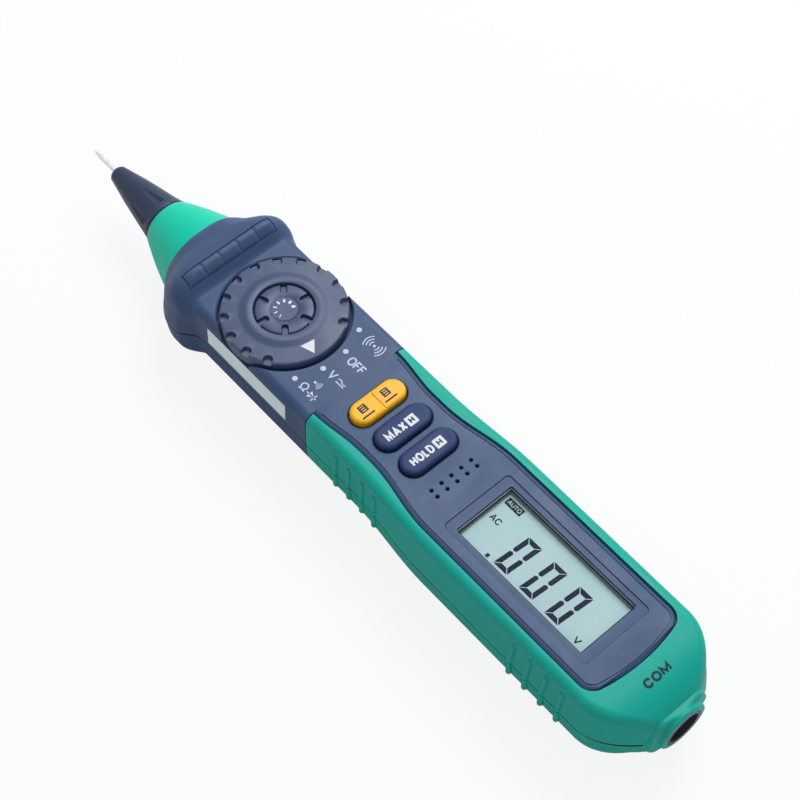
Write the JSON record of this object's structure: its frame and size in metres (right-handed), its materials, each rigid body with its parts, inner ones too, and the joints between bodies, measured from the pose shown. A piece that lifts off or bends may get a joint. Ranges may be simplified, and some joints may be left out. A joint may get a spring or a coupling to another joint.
{
  "type": "pen multimeter",
  "caption": "Hand-held pen-shaped multimeter with a steel probe tip, finger guard, rotary selector, three soft keys, display, battery bay and tail socket.",
  "frame": {"origin": "middle of the bounding box, on the plane the meter's back lies on", "axes": "+Y runs along the meter from its tail to the needle's tip, +Z points out of the face towards the reader, +X is to the right when the face is read with the needle up"},
  "size_m": [0.0376, 0.208, 0.0293],
  "materials": {
    "dark_casing": "fine spark-eroded texture",
    "green_grip": "soft satin overmould",
    "green_ring": "smooth satin",
    "dark_cone": "satin",
    "seal_rubber": "matt",
    "needle_steel": "drawn and ground",
    "nickel": "nickel plated",
    "brass_plated": "plain",
    "phosphor_bronze": "rolled strip",
    "dial_plastic": "satin",
    "knob_plastic": "satin",
    "cap_grey": "printed",
    "key_yellow": "satin",
    "key_dark": "satin",
    "mat_rubber": "matt",
    "window": "clear, polished",
    "lcd_glass": "grey-green display with its polarizers",
    "black_abs": "matt",
    "zebra_rubber": "layered",
    "board_fr4": "solder resist",
    "chip_resin": "resin drop",
    "lamp_lens": "tinted",
    "spring_steel": "drawn wire",
    "cell_wrap": null,
    "screw_steel": "zinc plated",
    "shroud_black": "satin",
    "label_white": "bare printed film"
  },
  "bodies": {
    "meter": {"upper_casing": "dark_casing", "lower_casing": "dark_casing", "upper_grip": "green_grip", "lower_grip": "green_grip", "nose_ring": "green_ring", "nose_seal": "seal_rubber", "nose_cone": "dark_cone", "probe_needle": "needle_steel", "needle_holder": "brass_plated", "contact_bar": "phosphor_bronze", "detent_ball": "spring_steel", "detent_spring": "spring_steel", "key_mat": "mat_rubber", "lcd_lens": "window", "lcd_panel": "lcd_glass", "lcd_holder": "black_abs", "contact_strips": "zebra_rubber", "main_board": "board_fr4", "measuring_chip": "chip_resin", "alarm_lamp": "lamp_lens", "sounder": "black_abs", "sens_potentiometer": "black_abs", "battery_cells": "cell_wrap", "cell_springs": "spring_steel", "cell_plates": "nickel", "battery_cover": "dark_casing", "cover_screw": "screw_steel", "casing_screws": "screw_steel", "jack_shroud": "shroud_black", "jack_contact": "nickel", "label_strip": "label_white"},
    "dial": {"dial": "dial_plastic", "contact_rotor": "black_abs", "rotor_brushes": "phosphor_bronze"},
    "sens_knob": {"sens_knob": "knob_plastic", "sens_cap": "cap_grey"},
    "rocker": {"range_func_key": "key_yellow"},
    "max_key": {"max_key": "key_dark"},
    "data_key": {"data_key": "key_dark"}
  },
  "joints": [
    {"name": "dial_turn", "type": "hinge", "parent": "meter", "child": "dial", "pos_m": [0, 0.0277, 0.0223], "axis": [0, 0, 1], "range_deg": [-22, 44]},
    {"name": "sens_turn", "type": "hinge", "parent": "meter", "child": "sens_knob", "pos_m": [0, 0.0277, 0.0223], "axis": [0, 0, 1], "range_deg": [-135, 135]},
    {"name": "rocker_tilt", "type": "hinge", "parent": "meter", "child": "rocker", "pos_m": [0, -0.0054, 0.02166], "axis": [0, 1, 0], "range_deg": [-3.5, 3.5], "stiffness_Nm_per_rad": 0.15},
    {"name": "max_press", "type": "slide", "parent": "meter", "child": "max_key", "axis": [0, 0, -1], "range_m": [0, 0.0008], "stiffness_N_per_m": 1500},
    {"name": "data_press", "type": "slide", "parent": "meter", "child": "data_key", "axis": [0, 0, -1], "range_m": [0, 0.0008], "stiffness_N_per_m": 1500}
  ]
}
